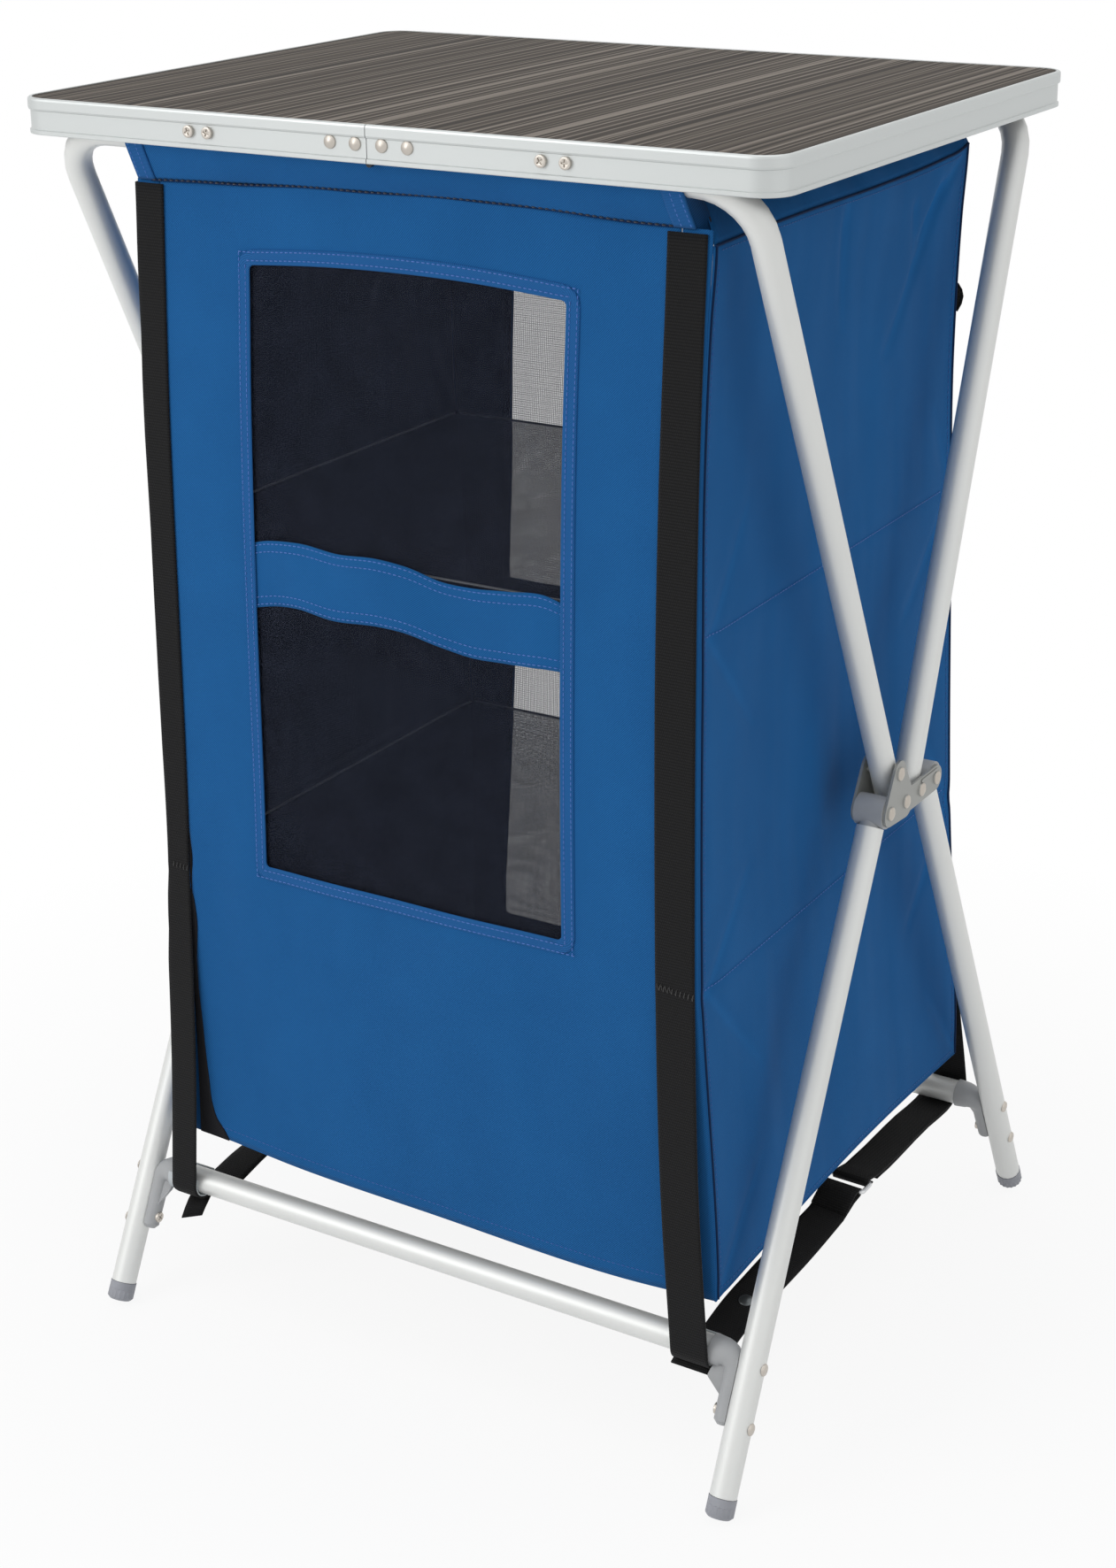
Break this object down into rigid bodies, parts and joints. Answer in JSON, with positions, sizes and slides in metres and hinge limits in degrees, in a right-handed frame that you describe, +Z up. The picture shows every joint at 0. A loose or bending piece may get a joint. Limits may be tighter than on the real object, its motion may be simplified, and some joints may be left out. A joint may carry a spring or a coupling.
{
  "type": "folding camping cupboard",
  "caption": "Folding camping cupboard: a hinged worktop on a crossed tube frame, with a hanging fabric box that has shelves and a zipped door with a net window.",
  "frame": {"origin": "centre of the bounding box's floor rectangle, where the four feet stand", "axes": "+Z up, -Y towards the front with the zipped door, +X to the right of a viewer who faces that front"},
  "size_m": [0.6, 0.5548, 0.963],
  "materials": {
    "tube": "satin anodised round tube",
    "edge_profile": "satin extruded edge",
    "bracket": "dull zinc grey",
    "hinge": "bright zinc",
    "ring": "bent wire",
    "fitting": "moulded grey plastic",
    "foot": "ribbed grey plastic",
    "board": "dark brown-grey laminate with fine stripes",
    "cloth": "blue coated polyester twill",
    "net": "fine dark netting",
    "shelf": "dark net over a stiff board",
    "webbing": "black woven webbing"
  },
  "bodies": {
    "frame": {"front_upper_tube": "tube", "bracket_outer_L": "bracket", "bracket_outer_R": "bracket", "bracket_inner_L": "bracket", "bracket_inner_R": "bracket", "roof_sleeve": "cloth", "side_wall_L": "cloth", "side_wall_R": "cloth", "front_border": "cloth", "rear_panel": "cloth", "rear_band": "cloth", "rear_net": "net", "shelf_lower": "shelf", "shelf_upper": "shelf", "box_floor": "cloth", "corner_strap_front_L": "webbing", "corner_strap_front_R": "webbing", "corner_strap_rear_L": "webbing", "corner_strap_rear_R": "webbing"},
    "rear_upper": {"rear_upper_tube": "tube"},
    "front_lower": {"front_leg_L": "tube", "front_leg_R": "tube", "front_cross_tube": "tube", "front_elbow_L": "fitting", "front_elbow_R": "fitting", "front_foot_L": "foot", "front_foot_R": "foot", "front_barrel_L": "fitting", "front_barrel_R": "fitting"},
    "rear_lower": {"rear_leg_L": "tube", "rear_leg_R": "tube", "rear_cross_tube": "tube", "rear_elbow_L": "fitting", "rear_elbow_R": "fitting", "rear_foot_L": "foot", "rear_foot_R": "foot", "rear_barrel_L": "fitting", "rear_barrel_R": "fitting", "spreader_strap_L": "webbing", "spreader_strap_R": "webbing", "spreader_ring_L": "ring", "spreader_ring_R": "ring"},
    "door": {"door_panel": "cloth", "door_net": "net", "door_band": "cloth"},
    "tabletop_left": {"edge_profile_L": "edge_profile", "top_board_L": "board", "fold_leaf_front_L": "hinge", "fold_leaf_rear_L": "hinge", "bar_clip_front_L": "fitting", "bar_clip_rear_L": "fitting"},
    "tabletop_right": {"edge_profile_R": "edge_profile", "top_board_R": "board", "fold_leaf_front_R": "hinge", "fold_leaf_rear_R": "hinge", "bar_clip_front_R": "fitting", "bar_clip_rear_R": "fitting"}
  },
  "joints": [
    {"name": "tabletop_lift", "type": "slide", "parent": "frame", "child": "tabletop_left", "axis": [0, 0, 1], "range_m": [0, 1.2], "deforming": ["roof_sleeve", "side_wall_L", "side_wall_R", "front_border", "door_panel", "door_band", "door_net", "rear_panel", "rear_band", "rear_net", "shelf_lower", "shelf_upper", "box_floor", "corner_strap_front_L", "corner_strap_front_R", "corner_strap_rear_L", "corner_strap_rear_R", "spreader_strap_L", "spreader_strap_R", "spreader_ring_L", "spreader_ring_R"]},
    {"name": "tabletop_fold", "type": "hinge", "parent": "tabletop_left", "child": "tabletop_right", "pos_m": [0, -0.0275, 0.9371], "axis": [0, 1, 0], "range_deg": [0, 180]},
    {"name": "rear_upper_fold", "type": "hinge", "parent": "frame", "child": "rear_upper", "pos_m": [0, 0.0135, 0.461], "axis": [1, 0, 0], "range_deg": [0, 45.7]},
    {"name": "front_lower_fold", "type": "hinge", "parent": "frame", "child": "front_lower", "pos_m": [0, -0.0405, 0.461], "axis": [-1, 0, 0], "range_deg": [0, 127.9]},
    {"name": "rear_lower_fold", "type": "hinge", "parent": "frame", "child": "rear_lower", "pos_m": [0, 0.0405, 0.461], "axis": [1, 0, 0], "range_deg": [0, 179.1]},
    {"name": "door_open", "type": "hinge", "parent": "frame", "child": "door", "pos_m": [0, -0.2375, 0.907], "axis": [-1, 0, 0], "range_deg": [0, 100]}
  ],
  "couplings": [
    {"joint": "tabletop_fold", "follows": "tabletop_lift", "rad_per_m": 2.618},
    {"joint": "rear_upper_fold", "follows": "tabletop_lift", "rad_per_m": 0.66371},
    {"joint": "front_lower_fold", "follows": "tabletop_lift", "rad_per_m": 1.8593},
    {"joint": "rear_lower_fold", "follows": "tabletop_lift", "rad_per_m": 2.604}
  ]
}
